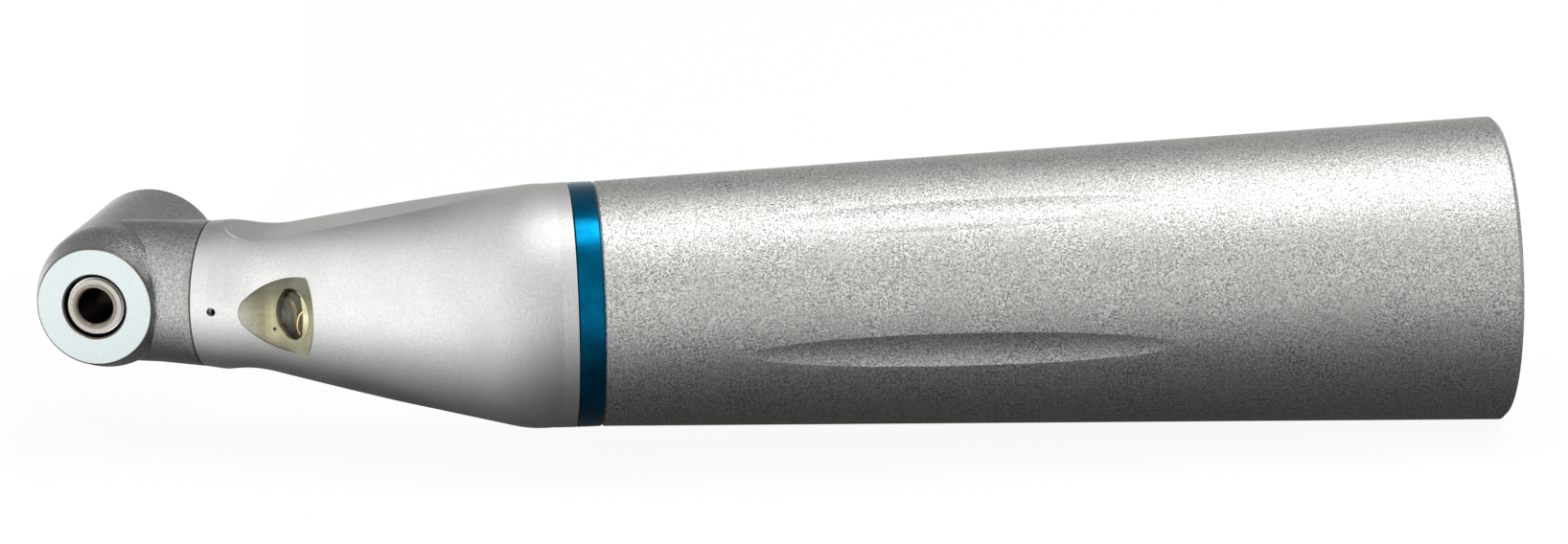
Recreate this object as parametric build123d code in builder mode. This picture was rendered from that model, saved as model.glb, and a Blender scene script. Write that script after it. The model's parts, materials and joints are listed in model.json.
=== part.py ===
"""A 1:1 contra-angle dental handpiece with a push-button chuck, internal spray and a lamp.

Frame: millimetres. The handle's axis is X, and +X points out of the motor socket. The origin is on that axis,
in the socket's mouth. The handpiece lies on its side: +Z is up, -Y is the side that the bur comes out of.
"""

import os
from math import acos, asin, atan, cos, degrees, pi, radians, sin, sqrt, tan

from build123d import *

os.makedirs("parts", exist_ok=True)

# ---------------------------------------------------------------- driving dimensions: millimetres, degrees

# Handle: lengths are counted forward from the socket's mouth.
rim_radius = 10.0
ring_radius = 8.0
sleeve_length = 59.05
ring_width = 1.72
ring_groove = 0.12
edge_bevel = 0.3

# Bend and neck: lengths are counted along the neck from the bend point.
bend_angle = 18.0
bend_setback = 2.04
shoulder_radius = 7.98
shoulder_lift = 0.03
shoulder_lap = 0.7
shoulder_end = 1.25
neck_length = 28.8
taper_middle_at = 9.3
taper_middle_radius = 6.57
taper_end_radius = 5.12
nose_radius = 4.95
seam_radius = 4.8
neck_wall = 0.7

# Neck's front end: lengths are counted back from the seam with the head, the stub's from the head's axis.
stub_length = 6.47
taper_end_setback = 4.93
nose_setback = 2.33
nose_solid = 4.33
spray_outlet_setback = 1.5
window_setback = 3.34
frame_step_setback = 1.66
frame_step_length = 1.0
flat_setback = 3.73
pinion_back = 4.8

# Head: lengths are counted along the bur's axis, towards the bur.
face_length = 4.79
face_radius = 3.94
barrel_edge = 4.76
back_length = 8.96
cap_flange = 0.9

# Motor socket
socket_radius = 5.0
socket_depth = 18.0
dog_room = 3.3
socket_wall = 1.6
socket_flange = 4.2
front_flange = 5.0
mouth_chamfer = 0.4
latch_groove_at = 13.0
latch_groove_width = 0.9
latch_groove_depth = 0.5

# Rear sleeve's inside
rim_wall = 1.4
seat_step = 1.0
seal_width = 1.0
seal_depth = 0.7
sleeve_wall = 1.36

# Finger grooves
groove_length = 28.5
groove_middle = 36.0
groove_depth = 0.3
groove_cutter = 3.6
groove_angles = (-12.5, 47.7)

# Shafts and bearings
rear_shaft_radius = 1.5
rear_journal_radius = 2.0
rear_bearing_radius = 4.0
rear_bearing_width = 3.0
front_shaft_radius = 1.6
front_journal_radius = 1.25
front_bearing_radius = 3.5
front_bearing_width = 2.5
nose_bearing_radius = 3.0
nose_bearing_width = 2.0
race_share = 0.28
shaft_tube_radius = 5.2
shaft_tube_wall = 0.5

# Lamp generator
magnet_radius = 3.0
magnet_start = 35.0
magnet_end = 43.0

# Gears
bend_gear_teeth = 16
bend_gear_cone = 3.9
bend_gear_face = 1.2
head_gear_teeth = 12
head_gear_radius = 2.4
head_gear_toe_radius = 1.85
pressure_angle = 20.0
addendum = 1.0
dedendum = 1.2
tooth_overlap = 0.1
gear_rim = 0.3
bend_backlash = 0.06
head_backlash = 0.06

# Spindle, chuck and button
bur_radius = 1.18
spindle_radius = 1.5
collar_radius = 1.82
face_hole_radius = 2.1
spindle_seat_radius = 2.9
spindle_seat_depth = 0.44
spindle_bearing_width = 1.6
chamber_radius = 3.3
chuck_radius = 2.0
chuck_bearing_width = 2.0
collet_radius = 1.6
button_radius = 2.9
button_travel = 0.8
pusher_travel = 0.6
button_flange = 0.35
cap_thread_radius = 4.0

# Spray, lamp window and wires
spray_tube_radius = 0.4
spray_bore_radius = 0.22
spray_side = -42.0
lead_radius = 0.2
lead_side = 42.0
spray_outlet_radius = 0.3
window_length = 5.33
window_half_width = 2.6
window_corner_length = 0.71
window_bow_length = 2.7
window_bow_width = 2.32
window_tip_length = 0.55
window_tip_width = 1.05
window_slope = 13.0
insert_flange = 0.5
lamp_setback = 3.6
lamp_drop = 0.31
lamp_radius = 1.7
lamp_tilt = 35.0
lamp_depth = 1.2

# Fits: the gap of a running fit, a free gap, and how far one cut laps into the next
running = 0.03
clear = 0.25
lap = 0.1

# ---------------------------------------------------------------- the three axes

turn = radians(bend_angle)
bend_at = sleeve_length + ring_width + bend_setback
taper = (rim_radius - ring_radius) / (sleeve_length + mouth_chamfer)

# In each plane x runs along the axis; y is the bur's side of the handle and neck, and the rear side of the head.
handle = Plane(origin=(0, 0, 0), x_dir=(-1, 0, 0), z_dir=(0, 0, 1))
neck = Plane(origin=(-bend_at, 0, 0), x_dir=(-cos(turn), sin(turn), 0), z_dir=(0, 0, 1))
head = Plane(origin=neck.from_local_coords((neck_length, 0, 0)), x_dir=neck.y_dir, z_dir=(0, 0, 1))


def sleeve_radius(along):
    """Outer radius of the rear sleeve at a distance from the socket's mouth."""
    return rim_radius - taper * (along + mouth_chamfer)


def spin(plane, *outline, mode=Mode.ADD):
    """Spins a closed outline of (along, radius) points about the plane's x axis."""
    with BuildSketch(plane) as profile:
        with BuildLine():
            Polyline(*outline, close=True)
        make_face()
    revolve(profile.sketch, axis=Axis(plane.origin, plane.x_dir), mode=mode)


def tube(plane, start, end, outer, inner, mode=Mode.ADD):
    """A straight ring between two stations of an axis."""
    spin(plane, (start, inner), (start, outer), (end, outer), (end, inner), mode=mode)


def rod(plane, start, end, radius, mode=Mode.ADD):
    """A straight cylinder between two stations of an axis."""
    spin(plane, (start, 0), (start, radius), (end, radius), (end, 0), mode=mode)


def save(piece, label):
    """Names a finished piece and writes it out."""
    piece.part.label = label
    export_step(piece.part, f"parts/{label}.step")


# ---------------------------------------------------------------- stations that follow from the sizes

rim_at = -mouth_chamfer
bearing_rear_start = socket_depth + dog_room
bearing_rear_end = bearing_rear_start + rear_bearing_width
coupling_end = bearing_rear_end + 1.6
tube_seat = coupling_end - 1.5
coupling_seat_radius = rim_radius - rim_wall
flange_seat_radius = coupling_seat_radius - seat_step
sleeve_bore = ring_radius - sleeve_wall
sleeve_cavity = sleeve_bore + 0.3
frame_start = sleeve_length - 8.4
tube_end = frame_start + 1.5
core_outer = shaft_tube_radius - shaft_tube_wall
coil_outer = core_outer - 0.4
seal_at = coupling_end - 2.6

bend_gear_root = 1.17
bearing_front_end = bend_at - 4.2
bearing_front_start = bearing_front_end - rear_bearing_width
gear_chamber = bend_gear_cone + 0.5

neck_bearing_start = 4.4
neck_bearing_end = neck_bearing_start + front_bearing_width
seam_length = neck_length - stub_length
taper_end_at = seam_length - taper_end_setback
nose_at = seam_length - nose_setback
nose_start = seam_length - nose_solid
spray_outlet_at = seam_length - spray_outlet_setback
window_front = seam_length - window_setback
window_rear = window_front - window_length
nose_bearing_end = neck_length - pinion_back
nose_bearing_start = nose_bearing_end - nose_bearing_width
neck_tube_radius = nose_bearing_radius + 0.5
frame_step_end = window_rear - frame_step_setback
frame_step_start = frame_step_end - frame_step_length

seat_front = face_length - spindle_seat_depth
seat_rear = seat_front - spindle_bearing_width
chuck_bearing_front = -3.6
chuck_bearing_rear = chuck_bearing_front - chuck_bearing_width
retainer_rear = chuck_bearing_rear - 0.7
cap_front = retainer_rear - 0.1
chuck_seat = -2.9

# ---------------------------------------------------------------- spray tube and lamp leads

tube_line_radius = shaft_tube_radius + 0.55
nose_line_radius = neck_tube_radius + 0.6
tube_start = coupling_end - 7.5


def beside(plane, along, radius, side):
    """A point at a distance along an axis, at a radius, and at an angle round it from the bur's side."""
    around = radians(side)
    return plane.from_local_coords((along, radius * cos(around), radius * sin(around)))


def side_route(side, start):
    """The route of a tube or lead: along the handle, round the bend and along the neck to the nose."""
    return (
        beside(handle, start, tube_line_radius, side),
        beside(handle, bend_at - 1.5, tube_line_radius, side),
        beside(neck, neck_bearing_start + 1.6, tube_line_radius - 0.3, side),
        beside(neck, window_rear - 0.66, gear_chamber, side),
        beside(neck, nose_start + 0.2, nose_line_radius, side),
        beside(neck, spray_outlet_at + 0.07, nose_line_radius, side),
    )


def pipe(route, radius, mode=Mode.ADD):
    """Sweeps a circle along a route with mitred corners."""
    with BuildLine(mode=Mode.PRIVATE) as path:
        Polyline(*route)
    with BuildSketch(Plane(origin=path.line @ 0, z_dir=path.line % 0), mode=Mode.PRIVATE) as section:
        Circle(radius)
    return sweep(section.sketch, path=path.line, transition=Transition.RIGHT, mode=mode)


def bend_route(start, end):
    """The route round the bend, from a distance along the handle to a distance along the neck."""
    return (handle.from_local_coords((start, 0, 0)), neck.origin, neck.from_local_coords((end, 0, 0)))


port_at = tube_start - 0.6
spray_route = side_route(spray_side, tube_start)

with BuildPart() as spray_tube:
    pipe(spray_route, spray_tube_radius)
    pipe(spray_route, spray_bore_radius, mode=Mode.SUBTRACT)
save(spray_tube, "spray_tube")

with BuildPart() as spray_passage:
    pipe(side_route(spray_side, port_at - 2 * spray_bore_radius), spray_tube_radius + running)

lamp_at = window_front - lamp_setback
lead_start = magnet_end - 1.2
lead_end_side = 18.0
lead_route = (
    *side_route(lead_side, lead_start)[:4],
    beside(neck, lamp_at, neck_tube_radius + 2 * lead_radius, lead_end_side),
)


def lead_form(radius):
    """The leads from the generator's coil, out through the shaft tube and along to the lamp."""
    pipe(lead_route, radius)
    foot = Vector(beside(handle, lead_start + lead_radius, coil_outer, lead_side))
    knee = Vector(beside(handle, lead_start + lead_radius, tube_line_radius, lead_side))
    with Locations(Plane(origin=(foot + knee) / 2, z_dir=knee - foot)):
        Cylinder(radius, (knee - foot).length)


with BuildPart() as lead_passage:
    lead_form(lead_radius + running)

# ---------------------------------------------------------------- rear sleeve

with BuildPart() as rear_sleeve:
    spin(
        handle,
        (rim_at, coupling_seat_radius),
        (rim_at, rim_radius - edge_bevel),
        (rim_at + edge_bevel, sleeve_radius(rim_at + edge_bevel)),
        (sleeve_length - ring_groove, sleeve_radius(sleeve_length - ring_groove)),
        (sleeve_length, ring_radius - ring_groove),
        (sleeve_length, sleeve_bore),
        (frame_start, sleeve_bore),
        (frame_start, sleeve_cavity),
        (coupling_end, sleeve_cavity),
        (coupling_end, flange_seat_radius),
        (socket_flange, flange_seat_radius),
        (socket_flange, coupling_seat_radius),
    )
    # Lens-shaped finger grooves: a round cutter swung through a wide arc along the cone, two on each side.
    half = groove_length / 2
    swing = (half**2 + groove_depth**2) / (2 * groove_depth) - groove_cutter
    half_swing = degrees(asin(half / (swing + groove_cutter)))
    for groove_angle in groove_angles:
        for side in (0, 180):
            around = radians(groove_angle + side)
            outward = handle.y_dir * cos(around) + handle.z_dir * sin(around)
            along = (handle.x_dir - outward * taper).normalized()
            across = along.cross(outward).normalized()
            lift = across.cross(along)
            surface = handle.origin + handle.x_dir * groove_middle + outward * sleeve_radius(groove_middle)
            middle = surface + lift * (groove_cutter - groove_depth)
            pivot = Axis(middle + lift * swing, across)
            with BuildSketch(Plane(origin=middle, x_dir=lift, z_dir=along), mode=Mode.PRIVATE) as groove:
                Circle(groove_cutter)
            start = groove.sketch.rotate(pivot, -half_swing)
            revolve(start, axis=pivot, revolution_arc=2 * half_swing, mode=Mode.SUBTRACT)
save(rear_sleeve, "rear_sleeve")

# ---------------------------------------------------------------- motor socket and what is in it

socket_outer = socket_radius + socket_wall
latch_groove_radius = socket_radius + latch_groove_depth
dog_clearance = rear_bearing_radius - 0.4

with BuildPart() as coupling_body:
    spin(
        handle,
        (rim_at, socket_radius + mouth_chamfer),
        (rim_at, coupling_seat_radius - edge_bevel),
        (rim_at + edge_bevel, coupling_seat_radius),
        (socket_flange, coupling_seat_radius),
        (socket_flange, socket_outer),
        (coupling_end - front_flange, socket_outer),
        (coupling_end - front_flange + 1, flange_seat_radius),
        (coupling_end, flange_seat_radius),
        (coupling_end, shaft_tube_radius),
        (tube_seat, shaft_tube_radius),
        (tube_seat, rear_bearing_radius),
        (bearing_rear_start, rear_bearing_radius),
        (bearing_rear_start, dog_clearance),
        (socket_depth, dog_clearance),
        (socket_depth, socket_radius),
        (0, socket_radius),
    )
    tube(
        handle,
        latch_groove_at,
        latch_groove_at + latch_groove_width,
        latch_groove_radius,
        socket_radius - 1,
        mode=Mode.SUBTRACT,
    )
    tube(
        handle,
        seal_at,
        seal_at + seal_width,
        flange_seat_radius + 1,
        flange_seat_radius - seal_depth,
        mode=Mode.SUBTRACT,
    )
    add(spray_passage.part, mode=Mode.SUBTRACT)
    # Port from the socket's wall to the spray tube's end.
    port = Vector(beside(handle, port_at, tube_line_radius, spray_side))
    inner = Vector(beside(handle, port_at, socket_radius - 1, spray_side))
    with Locations(Plane(origin=(port + inner) / 2, z_dir=port - inner)):
        Cylinder(spray_bore_radius, (port - inner).length, mode=Mode.SUBTRACT)
save(coupling_body, "coupling_body")

with BuildPart() as socket_snap_ring:
    ring_gap = 0.1
    tube(
        handle,
        latch_groove_at + ring_gap,
        latch_groove_at + latch_groove_width - ring_gap,
        latch_groove_radius,
        socket_radius + running,
    )
    with BuildSketch(handle) as split_gap:
        with Locations((latch_groove_at + latch_groove_width / 2, socket_radius)):
            Rectangle(2 * latch_groove_width, 3)
    extrude(split_gap.sketch, amount=0.6, both=True, mode=Mode.SUBTRACT)
save(socket_snap_ring, "socket_snap_ring")

with BuildPart() as sleeve_seal:
    tube(handle, seal_at, seal_at + seal_width, flange_seat_radius, flange_seat_radius - seal_depth)
save(sleeve_seal, "sleeve_seal")

with BuildPart() as shaft_tube:
    tube(handle, tube_seat, tube_end, shaft_tube_radius, shaft_tube_radius - shaft_tube_wall)
    add(lead_passage.part, mode=Mode.SUBTRACT)
save(shaft_tube, "shaft_tube")

# ---------------------------------------------------------------- lamp generator

core_flange = 0.7
core_inner = magnet_radius + clear
coil_inner = core_inner + 0.2

with BuildPart() as generator_core:
    spin(
        handle,
        (magnet_start, core_inner),
        (magnet_start, core_outer),
        (magnet_end, core_outer),
        (magnet_end, core_inner),
        (magnet_end - core_flange, core_inner),
        (magnet_end - core_flange, coil_outer),
        (magnet_start + core_flange, coil_outer),
        (magnet_start + core_flange, core_inner),
    )
    add(lead_passage.part, mode=Mode.SUBTRACT)
save(generator_core, "generator_core")

with BuildPart() as generator_coil:
    tube(handle, magnet_start + core_flange, magnet_end - core_flange, coil_outer, coil_inner)
save(generator_coil, "generator_coil")

with BuildPart() as generator_magnet:
    tube(handle, magnet_start, magnet_end, magnet_radius, rear_shaft_radius)
save(generator_magnet, "generator_magnet")

# ---------------------------------------------------------------- rear shaft

dog_start = socket_depth + 0.1
dog_radius = dog_clearance - clear
shaft_front = bend_at - bend_gear_root - 0.1

with BuildPart() as rear_shaft:
    spin(
        handle,
        (dog_start + 1.9, 0),
        (dog_start + 1.9, rear_shaft_radius),
        (bearing_rear_start, rear_shaft_radius),
        (bearing_rear_start, rear_journal_radius),
        (bearing_rear_end, rear_journal_radius),
        (bearing_rear_end, rear_journal_radius + 0.4),
        (bearing_rear_end + 0.8, rear_journal_radius + 0.4),
        (bearing_rear_end + 0.8, rear_shaft_radius),
        (bearing_front_start - 0.8, rear_shaft_radius),
        (bearing_front_start - 0.8, rear_journal_radius + 0.4),
        (bearing_front_start, rear_journal_radius + 0.4),
        (bearing_front_start, rear_journal_radius),
        (bearing_front_end, rear_journal_radius),
        (bearing_front_end, rear_shaft_radius),
        (shaft_front, rear_shaft_radius),
        (shaft_front, 0),
    )
save(rear_shaft, "rear_shaft")

with BuildPart() as drive_dog:
    spin(
        handle,
        (dog_start, 0),
        (dog_start, dog_radius - edge_bevel),
        (dog_start + edge_bevel, dog_radius),
        (bearing_rear_start - 0.1, dog_radius),
        (bearing_rear_start - 0.1, rear_shaft_radius),
        (dog_start + 1.9, rear_shaft_radius),
        (dog_start + 1.9, 0),
    )
    with BuildSketch(handle) as tang_slot:
        with Locations((dog_start + 0.9, 0)):
            Rectangle(1.8, 1.9)
    extrude(tang_slot.sketch, amount=dog_radius + 1, both=True, mode=Mode.SUBTRACT)
save(drive_dog, "drive_dog")

# ---------------------------------------------------------------- bevel gears


def tooth_outline(cone, half_angle, teeth, backlash, size):
    """Half of one tooth's outline as (sideways, outward) points on the gear's back cone, at a share of full size.

    The flank is an involute of the back cone's developed circle, through three of its points, with a straight
    foot below the base circle.
    """
    pitch_radius = cone * sin(half_angle)
    module = 2 * pitch_radius / teeth
    developed = cone * tan(half_angle)
    base = developed * cos(radians(pressure_angle))
    root = developed - (dedendum + tooth_overlap) * module
    tip = developed + addendum * module
    start = max(base, developed - dedendum * module)
    at_pitch = (pi * module / 2 - backlash) / 2 / developed
    involute_at_pitch = tan(radians(pressure_angle)) - radians(pressure_angle)

    def flank(radius):
        roll = acos(min(1, base / radius))
        spread = at_pitch + involute_at_pitch - (tan(roll) - roll)
        return (size * radius * sin(spread), size * (radius * cos(spread) - developed))

    foot = (flank(start)[0], size * (root - developed))
    return foot, flank(start), flank((start + tip) / 2), flank(tip)


def bevel_gear(cone, half_angle, teeth, face, back, hub, bore, backlash, spaced):
    """A straight bevel gear with its apex at the origin and its axis along +Z.

    cone is the distance from the apex to the teeth's outer ends, half_angle is the pitch cone's, back is how far
    behind the apex the body ends, and spaced puts a tooth space, not a tooth, on the +X side.
    """
    pitch_radius = cone * sin(half_angle)
    module = 2 * pitch_radius / teeth
    root_angle = half_angle - atan(dedendum * module / cone)
    toe = cone - face
    root_length = cone / cos(half_angle - root_angle)
    heel_point = (root_length * sin(root_angle), root_length * cos(root_angle))
    toe_length = toe / cos(half_angle - root_angle)
    toe_point = (toe_length * sin(root_angle), toe_length * cos(root_angle))
    with BuildPart() as gear:
        with BuildSketch(Plane.XZ):
            with BuildLine():
                Polyline(
                    (bore, toe_point[1]),
                    toe_point,
                    heel_point,
                    (heel_point[0], heel_point[1] + gear_rim),
                    (hub, heel_point[1] + gear_rim),
                    (hub, back),
                    (bore, back),
                    close=True,
                )
            make_face()
        revolve(axis=Axis.Z)
        element = Vector(sin(half_angle), 0, cos(half_angle))
        outward = Vector(cos(half_angle), 0, -sin(half_angle))
        sections = []
        for distance in (cone, toe):
            section_plane = Plane(origin=element * distance, x_dir=outward.cross(element), z_dir=element)
            half = tooth_outline(cone, half_angle, teeth, backlash, distance / cone)
            with BuildSketch(section_plane, mode=Mode.PRIVATE) as section:
                with BuildLine():
                    Polyline(*half, *((-sideways, out) for sideways, out in reversed(half)), close=True)
                make_face()
            sections.append(section.sketch)
        tooth = loft(sections, ruled=True, mode=Mode.PRIVATE)
        with PolarLocations(0, teeth, start_angle=180 / teeth if spaced else 0):
            add(tooth)
    return gear.part


bend_half_angle = radians(90 - bend_angle / 2)
rear_gear_plane = Plane(origin=neck.origin, x_dir=(0, 1, 0), z_dir=(1, 0, 0))
front_gear_plane = Plane(origin=neck.origin, x_dir=-neck.y_dir, z_dir=neck.x_dir)

with BuildPart() as rear_shaft_gear:
    with Locations(rear_gear_plane):
        add(
            bevel_gear(
                bend_gear_cone,
                bend_half_angle,
                bend_gear_teeth,
                bend_gear_face,
                bend_at - bearing_front_end,
                2.5,
                rear_shaft_radius,
                bend_backlash,
                spaced=False,
            )
        )
save(rear_shaft_gear, "rear_shaft_gear")

with BuildPart() as front_shaft_gear:
    with Locations(front_gear_plane):
        add(
            bevel_gear(
                bend_gear_cone,
                bend_half_angle,
                bend_gear_teeth,
                bend_gear_face,
                neck_bearing_start,
                1.9,
                front_journal_radius,
                bend_backlash,
                spaced=True,
            )
        )
save(front_shaft_gear, "front_shaft_gear")

head_half_angle = radians(45)
head_cone = head_gear_radius * sqrt(2)
head_face = (head_gear_radius - head_gear_toe_radius) * sqrt(2)
pinion_plane = Plane(origin=head.origin, x_dir=-head.x_dir, z_dir=-neck.x_dir)
spindle_gear_plane = Plane(origin=head.origin, x_dir=-neck.x_dir, z_dir=-head.x_dir)

with BuildPart() as head_pinion:
    with Locations(pinion_plane):
        add(
            bevel_gear(
                head_cone,
                head_half_angle,
                head_gear_teeth,
                head_face,
                neck_length - nose_bearing_end,
                1.9,
                front_journal_radius,
                head_backlash,
                spaced=True,
            )
        )
save(head_pinion, "head_pinion")

with BuildPart() as spindle_gear:
    with Locations(spindle_gear_plane):
        add(
            bevel_gear(
                head_cone,
                head_half_angle,
                head_gear_teeth,
                head_face,
                -chuck_bearing_front,
                2.4,
                spindle_radius,
                head_backlash,
                spaced=False,
            )
        )
    rod(head, chuck_bearing_front, chuck_seat, chuck_radius - 0.05, mode=Mode.SUBTRACT)
save(spindle_gear, "spindle_gear")

# ---------------------------------------------------------------- front shaft

with BuildPart() as front_shaft:
    spin(
        neck,
        (bend_gear_root + 0.1, 0),
        (bend_gear_root + 0.1, front_journal_radius),
        (neck_bearing_end, front_journal_radius),
        (neck_bearing_end, front_shaft_radius),
        (nose_bearing_start, front_shaft_radius),
        (nose_bearing_start, front_journal_radius),
        (neck_length - head_gear_radius + 0.3, front_journal_radius),
        (neck_length - head_gear_radius + 0.3, 0),
    )
save(front_shaft, "front_shaft")

# ---------------------------------------------------------------- bearings


def bearing(name, plane, start, end, bore, outer):
    """Outer and inner race of one ball bearing."""
    race = race_share * (outer - bore)
    with BuildPart() as outer_race:
        tube(plane, start, end, outer, outer - race)
    save(outer_race, f"{name}_outer_race")
    with BuildPart() as inner_race:
        tube(plane, start, end, bore + race, bore)
    save(inner_race, f"{name}_inner_race")


bearing("socket_bearing", handle, bearing_rear_start, bearing_rear_end, rear_journal_radius, rear_bearing_radius)
bearing("ring_bearing", handle, bearing_front_start, bearing_front_end, rear_journal_radius, rear_bearing_radius)
bearing("neck_bearing", neck, neck_bearing_start, neck_bearing_end, front_journal_radius, front_bearing_radius)
bearing("nose_bearing", neck, nose_bearing_start, nose_bearing_end, front_journal_radius, nose_bearing_radius)
bearing("face_bearing", head, seat_rear, seat_front, spindle_radius, spindle_seat_radius)
bearing("chuck_bearing", head, chuck_bearing_rear, chuck_bearing_front, chuck_radius, chamber_radius)

# ---------------------------------------------------------------- neck frame

frame_leg = 1.5
frame_radius = 6.0

with BuildPart() as neck_frame:
    pipe(bend_route(frame_start, frame_leg), sleeve_bore)
    spin(
        neck,
        (frame_leg - lap, 0),
        (frame_leg - lap, frame_radius),
        (neck_bearing_start - 0.4, frame_radius),
        (neck_bearing_end + 0.7, gear_chamber),
        (frame_step_start, gear_chamber),
        (frame_step_end, neck_tube_radius),
        (nose_bearing_end, neck_tube_radius),
        (nose_bearing_end, 0),
    )
    rod(handle, frame_start, tube_end, shaft_tube_radius, mode=Mode.SUBTRACT)
    rod(handle, tube_end, bearing_front_start, rear_bearing_radius - 0.4, mode=Mode.SUBTRACT)
    rod(handle, bearing_front_start, bearing_front_end, rear_bearing_radius, mode=Mode.SUBTRACT)
    pipe(bend_route(bearing_front_end, neck_bearing_start), gear_chamber, mode=Mode.SUBTRACT)
    rod(neck, neck_bearing_start, neck_bearing_end, front_bearing_radius, mode=Mode.SUBTRACT)
    rod(neck, neck_bearing_end, nose_bearing_start, nose_bearing_radius - 0.4, mode=Mode.SUBTRACT)
    rod(neck, nose_bearing_start, nose_bearing_end, nose_bearing_radius, mode=Mode.SUBTRACT)
    add(spray_passage.part, mode=Mode.SUBTRACT)
    add(lead_passage.part, mode=Mode.SUBTRACT)
save(neck_frame, "neck_frame")

# ---------------------------------------------------------------- colour ring and front sleeve

ring_front = sleeve_length + ring_width

with BuildPart() as color_ring:
    spin(
        handle,
        (sleeve_length, sleeve_bore),
        (sleeve_length, ring_radius - ring_groove),
        (sleeve_length + ring_groove, ring_radius),
        (ring_front - ring_groove, ring_radius),
        (ring_front, ring_radius - ring_groove),
        (ring_front, sleeve_bore),
    )
save(color_ring, "color_ring")

flat_low_at = seam_length - flat_setback
flat_low = 4.28
flat_wall = 0.3
flat_slope = 12.2
flat_cutter = 5.7
flat_run_out = 50.0
bore_leg = 2.0

# The window's outline, in a plane square to the bur's side: along the neck, and sideways.
side_plane = Plane(origin=neck.origin, x_dir=neck.x_dir, z_dir=-neck.y_dir)
window_tip_depth = nose_radius - 0.04


def window_outline(margin):
    """The window's outline: a round tip towards the head, bowed sides, and a bowed rear edge."""
    half_width = window_half_width + margin
    corner_at = window_rear + window_corner_length - margin
    bow_at = window_front - window_bow_length + margin / 2
    bow = window_bow_width + margin
    tip_side_at = window_front - window_tip_length + margin / 2
    tip_side = window_tip_width + margin
    with BuildSketch(side_plane, mode=Mode.PRIVATE) as outline:
        with BuildLine():
            ThreePointArc((corner_at, half_width), (bow_at, bow), (tip_side_at, tip_side))
            ThreePointArc((tip_side_at, tip_side), (window_front + margin, 0), (tip_side_at, -tip_side))
            ThreePointArc((tip_side_at, -tip_side), (bow_at, -bow), (corner_at, -half_width))
            ThreePointArc((corner_at, -half_width), (window_rear - margin, 0), (corner_at, half_width))
        make_face()
    return outline.sketch


with BuildPart() as insert_blank:
    extrude(window_outline(insert_flange), amount=-ring_radius)
    spin(
        neck,
        (taper_middle_at, 0),
        (taper_middle_at, taper_middle_radius - neck_wall),
        (taper_end_at, taper_end_radius - neck_wall),
        (seam_length, nose_radius - neck_wall),
        (seam_length, 0),
        mode=Mode.INTERSECT,
    )
    extrude(window_outline(0), amount=-ring_radius)
    rod(neck, taper_middle_at, seam_length, neck_tube_radius, mode=Mode.SUBTRACT)

# The ball reaches back into the handle's part of the sleeve on the bend's outer side.
ball_back = shoulder_radius * sin(turn) + shoulder_lap

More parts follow.
